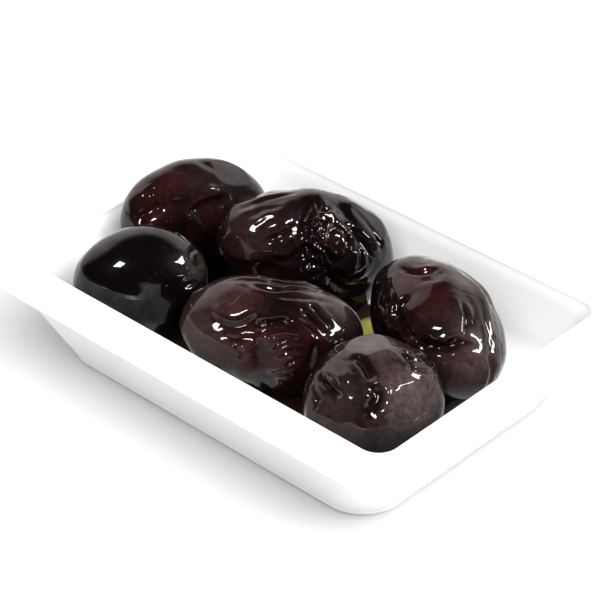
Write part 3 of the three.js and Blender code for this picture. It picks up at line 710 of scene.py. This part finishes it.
def sweep_tree():
    """Geometry Nodes that carry the section round a rounded rectangle and close it."""
    tree = bpy.data.node_groups.new("Rounded sweep", "GeometryNodeTree")
    tree.is_modifier = True
    for name, kind in (("Geometry", "Geometry"), ("Corner Steps", "Int"), ("Side Steps", "Int"),
                       ("Slump", "Float"), ("Slump Size", "Float"), ("Seed", "Float"),
                       ("Material", "Material")):
        tree.interface.new_socket(name=name, in_out="INPUT", socket_type="NodeSocket" + kind)
    tree.interface.new_socket(name="Geometry", in_out="OUTPUT", socket_type="NodeSocketGeometry")
    given = tree.nodes.new("NodeGroupInput").outputs
    result = tree.nodes.new("NodeGroupOutput")
    profile, corner_steps, side_steps = (
        given[name] for name in ("Geometry", "Corner Steps", "Side Steps"))
    rows = add_node(tree, "GeometryNodeAttributeDomainSize", {"Geometry": profile},
                    component="MESH").outputs["Point Count"]
    per_quarter = calc(tree, "ADD", corner_steps, side_steps)
    columns = calc(tree, "MULTIPLY_ADD", per_quarter, 4.0, 1.0)
    grid = add_node(tree, "GeometryNodeMeshGrid", {
        "Size X": 1.0, "Size Y": 1.0, "Vertices X": columns, "Vertices Y": rows})
    index = tree.nodes.new("GeometryNodeInputIndex").outputs[0]
    column = calc(tree, "FLOOR", calc(tree, "DIVIDE", calc(tree, "ADD", index, 0.5), rows))
    row = calc(tree, "SUBTRACT", index, calc(tree, "MULTIPLY", column, rows))

    def at_row(field, kind):
        """The field's value on this point's row of the profile."""
        return add_node(tree, "GeometryNodeSampleIndex", {
            "Geometry": profile, "Value": field, "Index": row},
            data_type=kind, domain="POINT").outputs["Value"]

    def stored(name):
        node = add_node(tree, "GeometryNodeInputNamedAttribute", {"Name": name}, data_type="FLOAT")
        return at_row(node.outputs["Attribute"], "FLOAT")

    half_length, half_width, corner = (stored(n) for n in ("half_length", "half_width", "corner"))
    position = tree.nodes.new("GeometryNodeInputPosition").outputs[0]
    height = add_node(tree, "ShaderNodeSeparateXYZ", {
        0: at_row(position, "FLOAT_VECTOR")}).outputs["Z"]
    # Each quarter of the way round is one corner's bend and then the run to the next corner.
    quarter = calc(tree, "FLOOR",
                   calc(tree, "DIVIDE", calc(tree, "ADD", column, 0.5), per_quarter))
    step = calc(tree, "SUBTRACT", column, calc(tree, "MULTIPLY", quarter, per_quarter))
    bend = calc(tree, "MINIMUM", calc(tree, "DIVIDE", step, corner_steps), 1.0)
    run = calc(tree, "DIVIDE", calc(tree, "SUBTRACT", step, corner_steps), side_steps)
    run = calc(tree, "MAXIMUM", run, 0.0)

    def corner_place(quarter_number, angle):
        """The point at an angle on the round of one corner."""
        parts = []
        middle = calc(tree, "MULTIPLY", calc(tree, "ADD", quarter_number, 0.5), math.pi / 2)
        for wave, half in (("COSINE", half_length), ("SINE", half_width)):
            sign = calc(tree, "SIGN", calc(tree, wave, middle))
            centre = calc(tree, "MULTIPLY", sign, calc(tree, "SUBTRACT", half, corner))
            parts.append(calc(tree, "MULTIPLY_ADD", corner, calc(tree, wave, angle), centre))
        return add_node(tree, "ShaderNodeCombineXYZ", dict(enumerate((*parts, height)))).outputs[0]

    following = calc(tree, "ADD", quarter, 1.0)
    here = corner_place(
        quarter, calc(tree, "MULTIPLY", calc(tree, "ADD", quarter, bend), math.pi / 2))
    there = corner_place(following, calc(tree, "MULTIPLY", following, math.pi / 2))
    place = add_node(tree, "ShaderNodeMix", {0: run, 4: here, 5: there}, data_type="VECTOR")
    wander = add_node(tree, "ShaderNodeTexNoise", {
        "Vector": position, "W": given["Seed"],
        "Scale": calc(tree, "DIVIDE", 1.0, given["Slump Size"]), "Detail": 0.0},
        noise_dimensions="4D")
    centred = vector_calc(tree, "SUBTRACT", wander.outputs["Color"], (0.5, 0.5, 0.5))
    slump = add_node(tree, "ShaderNodeVectorMath", {0: centred, "Scale": given["Slump"]},
                     operation="SCALE").outputs[0]
    shape = grid.outputs["Mesh"]
    for kind, inputs in (
            ("GeometryNodeSetPosition", {"Position": place.outputs[1]}),
            ("GeometryNodeSetPosition", {"Offset": slump}),
            ("GeometryNodeMergeByDistance", {"Distance": 0.001 * MM}),
            ("GeometryNodeSetShadeSmooth", {}),
            ("GeometryNodeRealizeInstances", {}),
            ("GeometryNodeSetMaterial", {"Material": given["Material"]})):
        shape = add_node(tree, kind, {"Geometry": shape, **inputs}).outputs[0]
    fill(tree, result, {"Geometry": shape})
    return tree


def made_plain(piece, tree, values):
    """Runs a Geometry Nodes tree on the piece with the named values, and keeps its result
    as the piece's mesh."""
    modifier = piece.modifiers.new(tree.name, "NODES")
    modifier.node_group = tree
    for socket in tree.interface.items_tree:
        if socket.in_out == "INPUT" and socket.name in values:
            modifier[socket.identifier] = values[socket.name]
    depsgraph = bpy.context.evaluated_depsgraph_get()
    mesh = bpy.data.meshes.new_from_object(piece.evaluated_get(depsgraph))
    piece.modifiers.remove(modifier)
    source = piece.data
    piece.data = mesh
    name = source.name
    bpy.data.meshes.remove(source)
    mesh.name = name
    if len(mesh.polygons) == 0:
        raise RuntimeError(f"{tree.name} made no faces")
    return piece


def kept_in_box(piece, node):
    """Moves points that the waves of the glaze carry past the node's box back onto it."""
    low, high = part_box(node)
    mesh = piece.data
    mesh.vertices.foreach_set("co", np.clip(mesh_points(mesh), low, high).ravel())
    mesh.update()


# ---------------------------------------------------------------- shapes on an olive

def unit(vectors):
    """One vector, or rows of vectors, brought to length one."""
    return vectors / np.linalg.norm(vectors, axis=-1, keepdims=True)


def ball_place(along, round_by):
    a, r = math.radians(along), math.radians(round_by)
    return np.array([math.sin(a), math.cos(a) * math.cos(r), math.cos(a) * math.sin(r)])


def bell(distance, radius):
    return np.exp(-((distance / radius) ** 2))


def smooth_step(value, low, high):
    share = np.clip((value - low) / (high - low), 0, 1)
    return share * share * (3 - 2 * share)


def blob(points, half, mark):
    """Strength of a mark with a place and a reach, fading smoothly round it."""
    distance = np.linalg.norm(points - ball_place(mark[0], mark[1]) * half, axis=1)
    return bell(distance, mark[2])


def strongest(points, half, marks):
    """The strongest at each point of marks with a place, a reach and a strength."""
    blobs = [mark[3] * blob(points, half, mark) for mark in marks]
    return np.max([np.zeros(len(points)), *blobs], axis=0)


def marked_line(mark, half, steps):
    """A line on the olive, bowed through the middle one of its three places."""
    start, middle, end = (ball_place(mark[i], mark[i + 1]) for i in (0, 2, 4))
    bend = 2 * middle - start / 2 - end / 2
    share = np.linspace(0, 1, steps + 1)[:, None]
    points = (1 - share) ** 2 * start + 2 * share * (1 - share) * bend + share ** 2 * end
    return unit(points) * half


def nearest_on_line(points, line):
    """For each point, its distance to a line, how far along the line that is, and its side."""
    distance = np.full(len(points), np.inf)
    along = np.zeros(len(points))
    side = np.zeros(len(points))
    for index in range(len(line) - 1):
        a, b = line[index], line[index + 1]
        share = np.clip((points - a) @ (b - a) / ((b - a) @ (b - a)), 0, 1)
        away = np.linalg.norm(points - a - share[:, None] * (b - a), axis=1)
        closer = away < distance
        distance[closer] = away[closer]
        along[closer] = (index + share[closer]) / (len(line) - 1)
        turn = np.cross(b - a, points[closer] - a)
        side[closer] = -np.sign((turn * points[closer]).sum(1))
    return distance, along, side


def line_fade(along, taper):
    """1 on the middle of a line, fading to 0 over a share of its length at each end."""
    return smooth_step(np.minimum(along, 1 - along), 0, taper)


def lattice_noise(points, seed):
    """Smooth gradient noise, about -1 to 1, one unit between its lattice points."""
    source = np.random.RandomState(seed)
    table = source.permutation(256)
    slopes = unit(source.normal(size=(256, 3)))
    cell = np.floor(points).astype(int)
    inside = points - cell
    fade = inside ** 3 * (inside * (inside * 6 - 15) + 10)
    total = np.zeros(len(points))
    for corner in np.ndindex(2, 2, 2):
        offset = np.array(corner)
        x, y, z = ((cell + offset) & 255).T
        slope = slopes[table[(table[(table[x] + y) & 255] + z) & 255]]
        weight = np.prod(np.where(offset, fade, 1 - fade), axis=1)
        total += weight * ((inside - offset) * slope).sum(1)
    return total * 1.6


def lattice_shake(points, shifts, seed):
    """Noise along each of the three axes, from places that lie apart in one lattice."""
    return np.stack([lattice_noise(points + shift, seed) for shift in shifts], axis=1)


def crease_net(points, size, seed):
    """Wandering valleys, 0 on the skin between them and 1 at their bottoms."""
    warp = lattice_shake(points / (size * 1.7), (0.0, 17.3, 41.9), seed + 1)
    moved = points + warp * size * 0.55
    main = np.abs(lattice_noise(moved / size, seed + 2))
    side = np.abs(lattice_noise(moved / (size * 0.62) + 9.1, seed + 3))
    return np.maximum(bell(main, 0.17), 0.4 * bell(side, 0.2))


def pucker_waves():
    """The broad waves of every olive, from one small repeatable random source."""
    state = PUCKER_SEED
    draws = []
    for _ in range(len(OLIVES) * PUCKER_WAVES * 4):
        state = (state * 1664525 + 1013904223) % 2 ** 32
        draws.append(state / 2 ** 32)
    shortest, longest = PUCKER_LENGTH
    waves = {}
    for name, rows in zip(OLIVES, np.array(draws).reshape(-1, PUCKER_WAVES, 4)):
        waves[name] = [(ball_place(math.degrees(math.asin(2 * a - 1)), 360 * b),
                        2 * math.pi / (shortest + (longest - shortest) * c),
                        2 * math.pi * d) for a, b, c, d in rows]
    return waves


# Each of these gives, for one mark after another, the height that it adds to the skin at each point
# and how deep in a crease the point then lies; that depth darkens the skin's colour as painted
# shade.

def line_marks(points, half, olive, settings, seed):
    """Folds and creases: a valley with a low lip on both sides."""
    shake = lattice_shake(points / CREASE_WANDER_SIZE, (3.0, 23.0, 51.0), seed + 11)
    for marks, taper, steps, wander, gain in (
            ("folds", FOLD_TAPER, FOLD_STEPS, 0.0, 1.0),
            ("creases", CREASE_TAPER, CREASE_STEPS, CREASE_WANDER, settings.wrinkling)):
        for mark in olive[marks]:
            depth, width = mark[6:]
            line = marked_line(mark, half, steps)
            distance, along, _ = nearest_on_line(points + shake * wander, line)
            strength = depth * line_fade(along, taper) * gain
            lip = FOLD_LIP * bell(distance - 2 * width, width)
            valley = bell(distance, width)
            yield strength * (lip - valley), strength / FULL_CREASE * valley


def ledge_marks(points, half, olive):
    """Ledges: a lip, and beside it a drop that runs out slowly."""
    for mark in olive.get("ledges", ()):
        depth, width = mark[6:]
        distance, along, side = nearest_on_line(points, marked_line(mark, half, FOLD_STEPS))
        fade = line_fade(along, FOLD_TAPER)
        below = distance * side
        lip = FOLD_LIP * bell(below + 1.3 * width, 1.3 * width)
        drop = smooth_step(below, -0.3 * width, 1.1 * width)
        drop *= bell(np.maximum(below, 0), LEDGE_REACH)
        # The second value lays painted shade on the skin below the lip.
        yield depth * fade * (lip - drop), 0.8 * fade * bell(below - 1.2 * width, 1.5 * width)


def ring_marks(points, half, olive):
    """Rings: a valley round a place, on its own side of the olive only."""
    for along, round_by, across, up, width, depth in olive.get("rings", ()):
        centre = ball_place(along, round_by)
        outward = centre / half
        side = unit(np.cross((0, 0, 1), outward))
        rise = unit(np.cross(outward, side))
        offset = points - centre * half
        out = np.hypot(offset @ side / across, offset @ rise / up)
        away = np.abs(out - 1) * (across + up) / 2
        away += np.maximum(0, np.abs(offset @ outward) * 10 - 3)
        valley = bell(away, width)
        yield -depth * valley, valley


def net_marks(points, half, olive, settings, seed):
    """Nets: patches of wandering wrinkles."""
    net = crease_net(points, NET_SIZE, seed)
    for mark in olive["nets"]:
        strength = mark[3] * settings.wrinkling * blob(points, half, mark)
        # The second value lays painted shade in the wrinkles, NET_DARKNESS times as strong as their
        # depth.
        yield -strength * (net - NET_LEVEL), np.minimum(strength * NET_DARKNESS, 1) * net


# ---------------------------------------------------------------- the olives

def olive_relief(points, half, olive, waves, settings, seed):
    """Height of the skin over the plain oval at each point, and how deep in a crease it lies."""
    relief = np.zeros(len(points))
    creased = np.zeros(len(points))
    swells = [(along, round_by, SWELL_RADIUS, height)
              for along, round_by, height in olive["swells"]]
    for mark in swells + olive["knobs"]:
        relief += mark[3] * blob(points, half, mark)
    for direction, step, phase in waves:
        wave = np.sin(points @ direction * step + phase)
        relief += olive["pucker"] * wave / math.sqrt(PUCKER_WAVES)
    for marks in (line_marks(points, half, olive, settings, seed),
                  ledge_marks(points, half, olive), ring_marks(points, half, olive),
                  net_marks(points, half, olive, settings, seed)):
        for height, depth in marks:
            relief += height
            creased = np.maximum(creased, depth)
    fine = crease_net(points * FINE_NET_STRETCH, FINE_NET_SIZE, seed + 20)
    patch = smooth_step(lattice_noise(points / PATCH_SIZE, seed + 30), -0.1, 0.5)
    relief -= settings.wrinkling * olive["pucker"] * FINE_NET_SHARE * patch * fine
    return relief, np.clip(creased, 0, 1)


def turn_matrix(turn):
    """The turn by roll about X, then by tilt about Y, then by yaw about Z, all in degrees."""
    (cz, sz), (cy, sy), (cx, sx) = (
        (math.cos(angle), math.sin(angle)) for angle in map(math.radians, turn))
    about_z = np.array([[cz, -sz, 0], [sz, cz, 0], [0, 0, 1]])
    about_y = np.array([[cy, 0, -sy], [0, 1, 0], [sy, 0, cy]])
    about_x = np.array([[1, 0, 0], [0, cx, -sx], [0, sx, cx]])
    return about_z @ about_y @ about_x


def olive_piece(name, olive, waves, settings, seed):
    """One olive: an oval with its relief, facets and creases, laid in the dish."""
    build = bmesh.new()
    bmesh.ops.create_icosphere(build, subdivisions=settings.fineness, radius=1.0)
    mesh = bpy.data.meshes.new(name + "_skin")
    build.to_mesh(mesh)
    build.free()
    ball = unit(mesh_points(mesh))
    half = np.array(olive["half"])
    points = ball * half
    relief, creased = olive_relief(points, half, olive, waves, settings, seed)
    shaped = points + unit(ball / half) * relief[:, None]
    for along, round_by, inset in olive["flats"]:
        facing = ball_place(along, round_by)
        reach = np.linalg.norm(facing * half) - inset
        excess = np.maximum(0, shaped @ facing - reach)
        shaped -= FLAT_SOFTNESS * excess[:, None] * facing
    shaped = shaped @ turn_matrix(olive["turn"]).T
    shaped[:, :2] += olive["at"]
    low, high = (corner.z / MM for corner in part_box(name))
    lowest, highest = shaped[:, 2].min(), shaped[:, 2].max()
    shaped[:, 2] = low + (shaped[:, 2] - lowest) * min(1, (high - low) / (highest - lowest))
    mesh.vertices.foreach_set("co", (shaped * MM).ravel())
    store(mesh, "flush", strongest(points, half, olive["flush"]) - olive.get("ripe", 0.0))
    # Dry skin: rougher, with less oil film, and a grey bloom that is partly painted sheen.
    store(mesh, "dull", strongest(points, half, olive["dull"]))
    # How deep each point lies in a crease; the skin's colour is darkened there with painted shade.
    store(mesh, "crease", creased)
    mesh.update()
    mesh.shade_smooth()
    return added(name + "_skin", mesh)


# ---------------------------------------------------------------- the oil

def rounded_ring(outline, count):
    """Points round a rounded rectangle at even steps of its edge, in mm."""
    length, width, corner = outline
    sides = []
    for quarter in range(4):
        sign_x = 1 if quarter in (0, 3) else -1
        sign_y = 1 if quarter < 2 else -1
        angles = (quarter + np.linspace(0, 1, 25)) * math.pi / 2
        sides.append(np.stack([sign_x * (length - corner) + corner * np.cos(angles),
                               sign_y * (width - corner) + corner * np.sin(angles)], axis=1))
    edge = np.vstack(sides + [sides[0][:1]])
    walked = np.concatenate([[0], np.cumsum(np.linalg.norm(np.diff(edge, axis=0), axis=1))])
    wanted = np.linspace(0, walked[-1], count, endpoint=False)
    return np.stack([np.interp(wanted, walked, edge[:, axis]) for axis in (0, 1)], axis=1)


def waterline(level):
    """Points of the olives' skins near the oil's level, in mm."""
    near = []
    for name in OLIVES:
        points = mesh_points(bpy.data.objects[name + "_skin"].data) / MM
        near.append(points[np.abs(points[:, 2] - level) < WATERLINE_REACH][::3, :2])
    return np.vstack(near)


def pool_rings(settings, floor):
    """The pool's rings of points in mm, from its middle out and then under its edge, and how much
    painted shade darkens the oil at each point."""
    depth, creep, creep_reach = (
        value / MM for value in (settings.depth, settings.creep, settings.creep_reach))
    line = waterline(floor + depth)
    edge = rounded_ring(POOL, POOL_STEPS)
    flat_edge = np.column_stack([edge / POOL_WANDER_SIZE, np.zeros(POOL_STEPS)])
    wander = lattice_noise(flat_edge, settings.seed)
    edge *= 1 - settings.wander * smooth_step(wander, -0.7, 0.7)[:, None]
    rings = []
    juice = []
    shares = np.concatenate([np.linspace(0.02, 0.9, 56), 1 - 0.1 * np.linspace(0.92, 0, 16) ** 2])
    for share in shares:
        flat = edge * share + (0, POOL_SHIFT)
        inward = np.linalg.norm(edge, axis=1) * (1 - share)
        rounded = np.sqrt(1 - (1 - np.minimum(inward / POOL_EDGE, 1)) ** 2)
        to_olive = np.array([np.sqrt(((line - point) ** 2).sum(1).min()) for point in flat])
        height = (depth + creep * np.exp(-to_olive / creep_reach)) * rounded
        rings.append(np.column_stack([flat, floor + height]))
        # Painted shade everywhere but in the unshaded spots.
        clear = []
        for x, y, reach in UNSHADED_OIL_SPOTS:
            away = np.hypot(flat[:, 0] - x, flat[:, 1] - y)
            clear.append(1 - smooth_step(away, reach - UNSHADED_OIL_FADE, reach))
        juice.append(1 - np.max(clear, axis=0))
    rings.append(np.column_stack([edge + (0, POOL_SHIFT), np.full(POOL_STEPS, floor - POOL_SINK)]))
    juice.append(juice[-1])
    return rings, juice


def oil_piece(settings, dish):
    """A shallow puddle with a rounded, wandering edge that climbs a little up the olives."""
    floor = dish.floor_height / MM
    rings, juice = pool_rings(settings, floor)
    top = (0, POOL_SHIFT, rings[0][:, 2].mean())
    under = (0, POOL_SHIFT, floor - POOL_SINK)
    points = np.vstack([[top], *rings, [under]]) * MM
    last = 1 + len(rings) * POOL_STEPS
    base = last - POOL_STEPS
    faces = []
    for index in range(POOL_STEPS):
        following = (index + 1) % POOL_STEPS
        faces.append((0, 1 + index, 1 + following))
        faces.append((last, base + following, base + index))
        for inner in range(1, base, POOL_STEPS):
            outer = inner + POOL_STEPS
            faces.append((inner + index, outer + index, outer + following, inner + following))
    mesh = bpy.data.meshes.new("oil_pool")
    mesh.from_pydata(points.tolist(), [], faces)
    # The painted shade at each point, which darkens the oil's colour.
    store(mesh, "juice", np.concatenate([[1.0], *juice, [1.0]]))
    mesh.update()
    mesh.shade_smooth()
    return added("oil_pool", mesh)


# ---------------------------------------------------------------- the stage

def bearing(turn, height):
    """A unit vector: turn 0 looks from -Y and 90 from +X; both angles are in degrees."""
    t, h = math.radians(turn), math.radians(height)
    return Vector((math.sin(t) * math.cos(h), -math.cos(t) * math.cos(h), math.sin(h)))


def aimed(name, data, turn, height, distance, target):
    """An object that looks at the target from a turn, a height and a distance."""
    holder = added(name, data)
    away = bearing(turn, height)
    holder.location = target + away * distance
    holder.rotation_euler = (-away).to_track_quat("-Z", "Y").to_euler()
    return holder


def soft_light(name, turn, height, distance, size, power, target):
    """A square area light that the camera doesn't see."""
    lamp = bpy.data.lights.new(name, "AREA")
    lamp.shape = "RECTANGLE"
    lamp.size = lamp.size_y = size
    lamp.energy = power
    holder = aimed(name, lamp, turn, height, distance, target)
    holder.visible_camera = False
    return holder


def studio_world():
    """Bright low down and behind the dish, dark above the camera, white to the camera itself."""
    world = bpy.data.worlds.new("studio")
    world.use_nodes = True
    tree = world.node_tree
    tree.nodes.clear()
    way = tree.nodes.new("ShaderNodeTexCoord").outputs["Generated"]
    height = add_node(tree, "ShaderNodeSeparateXYZ", {0: way}).outputs["Z"]
    behind = vector_calc(tree, "DOT_PRODUCT", way, tuple(bearing(*BACKDROP)), out=1)
    low = ramp(tree, height, 0.0, 0.16, 0.75, 0.0)
    back = calc(tree, "MULTIPLY", ramp(tree, behind, 0.25, 0.75),
                ramp(tree, height, 0.5, 0.85, 1.0, 0.0))
    glow = ramp(tree, calc(tree, "MAXIMUM", low, back), 0.0, 1.0, 0.03, 1.1)
    seen = tree.nodes.new("ShaderNodeLightPath").outputs["Is Camera Ray"]
    sky = add_node(tree, "ShaderNodeBackground", {
        "Color": mix_colour(tree, seen, (1, 0.92, 0.90, 1), (1, 1, 1, 1)),
        "Strength": calc(tree, "MAXIMUM", glow, seen)})
    add_node(tree, "ShaderNodeOutputWorld", {"Surface": sky.outputs[0]})
    bpy.context.scene.world = world


def camera(settings):
    data = bpy.data.cameras.new("view")
    data.sensor_width = SENSOR
    data.lens = LENS
    data.clip_start, data.clip_end = 0.01, 20.0
    turn, height = math.degrees(settings.view_turn), math.degrees(settings.view_height)
    target = Vector([value * MM for value in VIEW_TARGET])
    bpy.context.scene.camera = aimed("view", data, turn, height, settings.view_distance, target)


# ---------------------------------------------------------------- operators

class OLIVES_OT_porcelain_dish(bpy.types.Operator):
    """Make the porcelain dish"""
    bl_idname = "olives.porcelain_dish"
    bl_label = "Porcelain Dish"

    def execute(self, context):
        settings = context.scene.olives_dish
        piece = made_plain(profile_object(settings), sweep_tree(), {
            "Corner Steps": settings.corner_steps, "Side Steps": settings.side_steps,
            "Slump": settings.slump, "Slump Size": SLUMP_SIZE * MM, "Seed": SLUMP_SEED,
            "Material": porcelain_material(settings)})
        kept_in_box(piece, "dish")
        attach(piece, "root")
        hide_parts("dish")
        return {"FINISHED"}


class OLIVES_OT_olives(bpy.types.Operator):
    """Make the six wrinkled olives"""
    bl_idname = "olives.olives"
    bl_label = "Olives"

    def execute(self, context):
        settings = context.scene.olives_skin
        skin = olive_material(settings)
        waves = pucker_waves()
        for number, (name, olive) in enumerate(OLIVES.items()):
            seed = settings.seed + 100 * number
            piece = olive_piece(name, olive, waves[name], settings, seed)
            piece.data.materials.append(skin)
            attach(piece, "root")
            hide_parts(name)
        return {"FINISHED"}


class OLIVES_OT_oil(bpy.types.Operator):
    """Pour the shallow pool of oil round the olives"""
    bl_idname = "olives.oil"
    bl_label = "Oil"

    def execute(self, context):
        piece = oil_piece(context.scene.olives_oil, context.scene.olives_dish)
        piece.data.materials.append(oil_material(context.scene.olives_oil))
        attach(piece, "root")
        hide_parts("oil")
        return {"FINISHED"}


class OLIVES_OT_stage(bpy.types.Operator):
    """Set the table, the lights and the camera"""
    bl_idname = "olives.stage"
    bl_label = "Stage"

    def execute(self, context):
        settings = context.scene.olives_stage
        half = TABLE_HALF
        corners = [(-half, -half, 0), (half, -half, 0), (half, half, 0), (-half, half, 0)]
        mesh = bpy.data.meshes.new("table")
        mesh.from_pydata(corners, [], [(0, 1, 2, 3)])
        mesh.materials.append(table_material())
        table = added("table", mesh)
        gains = {"key": settings.key_power, "fill": settings.fill_power,
                 "top": settings.top_power, "side": settings.top_power}
        middle = Vector((0, 0, 0.01))
        for name, (*aim, size, power) in {**SPARKLES, **PANELS}.items():
            light = soft_light(name, *aim, size, power * gains[name], middle)
            light.visible_diffuse = name not in SPARKLES
            light.visible_glossy = name not in PANELS
        studio_world()
        camera(settings)
        context.scene.view_settings.view_transform = "Standard"
        return {"FINISHED"}


class OLIVES_PT_panel(bpy.types.Panel):
    """Sizes and colours of the dish of olives, and the steps that make it"""
    bl_idname = "OLIVES_PT_panel"
    bl_label = "Dish of Olives"
    bl_space_type = "VIEW_3D"
    bl_region_type = "UI"
    bl_category = "Olives"

    def draw(self, context):
        for group in GROUPS:
            box = self.layout.box()
            settings = getattr(context.scene, group)
            for name in settings.__annotations__:
                box.prop(settings, name)
        for operator in STEPS:
            self.layout.operator(operator.bl_idname)


GROUPS = {
    "olives_dish": DishSettings,
    "olives_skin": OliveSettings,
    "olives_oil": OilSettings,
    "olives_stage": StageSettings,
}
STEPS = (OLIVES_OT_porcelain_dish, OLIVES_OT_olives, OLIVES_OT_oil, OLIVES_OT_stage)
CLASSES = (*GROUPS.values(), *STEPS, OLIVES_PT_panel)


def register():
    for entry in CLASSES:
        bpy.utils.register_class(entry)
    for name, group in GROUPS.items():
        setattr(bpy.types.Scene, name, PointerProperty(type=group))


def unregister():
    for name in GROUPS:
        delattr(bpy.types.Scene, name)
    for entry in reversed(CLASSES):
        bpy.utils.unregister_class(entry)


def main():
    register()
    bpy.ops.olives.porcelain_dish()
    bpy.ops.olives.olives()
    bpy.ops.olives.oil()
    bpy.ops.olives.stage()
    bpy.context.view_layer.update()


if __name__ == "__main__":
    main()
